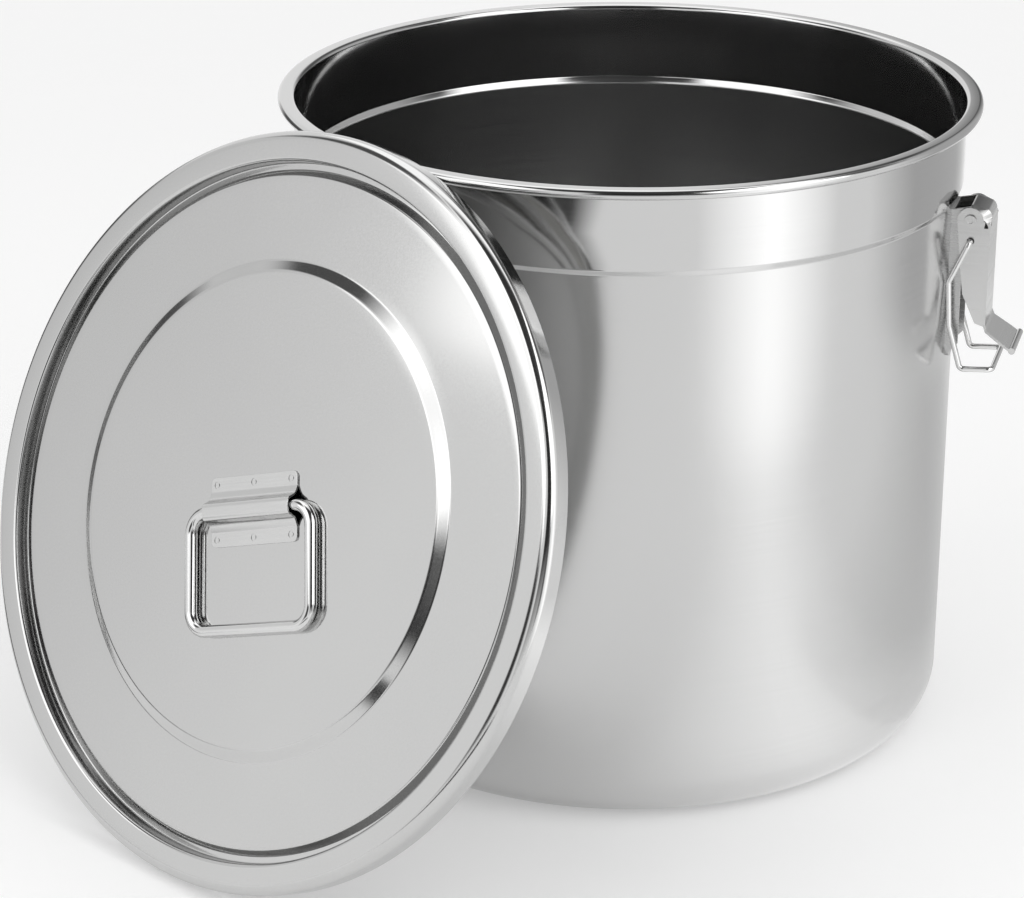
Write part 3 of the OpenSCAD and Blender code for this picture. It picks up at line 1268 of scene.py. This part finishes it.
@dataclass
class Studio:
    """The pale floor, the soft lamps, the white surroundings, the panels and the camera.

    The floor is whole up to `floor_plain` from the bin's axis and fades into the surroundings from
    there on. `floor_glow` is added to it for the eye and in gloss, and makes it white there.
    """

    floor_size: float = 6.0
    floor_plain: float = 1.1
    floor_tone: float = 0.8
    floor_glow: float = 0.27
    sky_seen: float = 1.0
    sky_light: float = 0.5
    eye: Triple = (0.0, -1.5265, 0.7499)
    aim: Triple = (-0.0586, 0.0, 0.1317)
    lens: float = 111.0
    lamps: tuple[Lamp, ...] = (
        Lamp("key lamp", (1.6, -1.4, 2.2), 2.6, 27.0),
        Lamp("fill lamp", (-2.0, -1.2, 1.9), 2.4, 17.0),
        Lamp("top lamp", (0.0, 0.8, 2.6), 2.8, 14.0),
    )
    panels: tuple[Panel, ...] = (
        Panel("bright panel", 43.0, 0.62, 0.3, (0.52, 1.0), 1.75, core=0.04),
        Panel("grey panel right", 118.0, 0.7, 0.3, (1.05, 1.2), 0.55),
        Panel("dark panel above", 0.0, 0.75, 1.6, (1.5, 1.8), 0.05, 90.0, 0.38),
        Panel("dark panel high right", 92.0, 1.2, 1.25, (0.9, 0.9), 0.1, 35.0),
        Panel("pale panel left", -101.0, 1.3, 0.45, (1.3, 1.4), 0.8),
        Panel("bright floor card", 43.0, 0.4, 0.003, (0.34, 0.6), 1.3, 90.0, 0.04),
        Panel("grey floor card", 122.0, 0.4, 0.003, (0.7, 0.6), 0.68, 90.0, 0.1),
        Panel("dark floor card", -84.0, 0.66, 0.003, (0.5, 0.42), 0.15, 90.0),
        Panel("dark floor card front", -30.0, 0.98, 0.003, (0.75, 0.55), 0.06, 90.0, 0.3),
        Panel("dark panel overhead left", -60.0, 0.4, 1.35, (1.1, 1.1), 0.08, 90.0, 0.6),
        Panel("dark panel high front right", 46.0, 1.45, 1.5, (1.1, 1.1), 0.05, 45.0, 0.5),
        Panel("dark panel low front right", 26.0, 1.6, 0.45, (0.5, 0.8), 0.2),
        Panel("dark panel front", 6.0, 1.3, 1.5, (1.0, 3.0), 0.03, core=0.34),
        Panel("dark panel front left", -42.0, 1.35, 0.36, (1.0, 0.6), 0.05),
        Panel("bright panel front left", -50.0, 1.25, 1.0, (0.7, 0.6), 1.6, 20.0),
        Panel("dark panel high left", -95.0, 1.3, 1.5, (1.4, 1.0), 0.1, 35.0),
        Panel("dark panel low left", -125.0, 1.1, 0.25, (0.9, 0.7), 0.1),
        Panel("dark panel behind", 150.0, 1.5, 0.9, (1.6, 1.6), 0.12),
        Panel("dark panel high behind", 138.0, 1.0, 1.4, (1.5, 1.0), 0.1, 45.0),
    )

    def floor_material(self) -> bpy.types.Material:
        """Builds the floor's finish, white to the eye except for the object's shadow.

        Returns:
            The material.
        """
        n = Nodes("studio floor")
        n.shader.inputs["Base Color"].default_value = (*[self.floor_tone] * 3, 1.0)
        n.shader.inputs["Roughness"].default_value = 0.9
        n.shader.inputs["Specular IOR Level"].default_value = 0.1
        glow = n.add("ShaderNodeEmission")
        glow.inputs["Color"].default_value = (1.0, 1.0, 1.0, 1.0)
        n.link(n.math("MULTIPLY", n.direct_rays(), self.floor_glow), glow.inputs["Strength"])
        both = n.add("ShaderNodeAddShader")
        n.link(n.shader.outputs[0], both.inputs[0])
        n.link(glow.outputs[0], both.inputs[1])
        reach = n.add("ShaderNodeVectorMath", operation="LENGTH")
        n.link(n.place(), reach.inputs[0])
        fade = n.add("ShaderNodeMixShader")
        n.link(n.remap(reach.outputs["Value"], self.floor_plain, self.floor_size / 2, 0.0, 1.0),
               fade.inputs[0])
        n.link(both.outputs[0], fade.inputs[1])
        n.link(n.add("ShaderNodeBsdfTransparent").outputs[0], fade.inputs[2])
        n.finish_with(fade.outputs[0])
        return n.material

    def build_floor(self) -> None:
        """Lays the floor."""
        clear_selection()
        bpy.ops.mesh.primitive_plane_add(size=self.floor_size)
        floor = named("studio_floor")
        floor.data.materials.append(self.floor_material())

    def build_surroundings(self) -> None:
        """Makes the surroundings white to the eye and in gloss, and a soft light otherwise."""
        world = bpy.data.worlds.new("studio surroundings")
        bpy.context.scene.world = world
        world.use_nodes = True
        graph = Graph(world.node_tree)
        sky = graph.tree.nodes["Background"]
        sky.inputs["Color"].default_value = (1.0, 1.0, 1.0, 1.0)
        level = graph.remap(graph.direct_rays(), 0.0, 1.0, self.sky_light, self.sky_seen)
        graph.link(level, sky.inputs["Strength"])

    def build_camera(self) -> None:
        """Stands the camera where the photograph was taken from."""
        camera = bpy.data.cameras.new("camera")
        camera.lens = self.lens
        camera.sensor_width = 36.0
        camera.clip_start = 0.05
        bpy.context.scene.camera = set_up("camera", camera, self.eye, self.aim)

    def build(self) -> None:
        """Sets up the whole studio."""
        self.build_floor()
        self.build_surroundings()
        for fitting in (*self.lamps, *self.panels):
            fitting.build()
        self.build_camera()
        bpy.context.scene.view_settings.view_transform = "Standard"
        LOG.info("studio with %d lamps and %d panels", len(self.lamps), len(self.panels))


def main() -> None:
    """Builds and dresses the bin, its lid, handle and latches, and sets up the studio."""
    logging.basicConfig(level=logging.INFO, format="%(name)s: %(message)s")
    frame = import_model()
    Studio().build()
    Bin().build()
    lid = Lid()
    lid.build()
    lid.build_seal()
    handle = Handle(lid)
    handle.build_strap()
    handle.build_bail()
    for side in Side:
        Latch(side, frame["nodes"]).build()
    clear_selection()


if __name__ == "__main__":
    main()
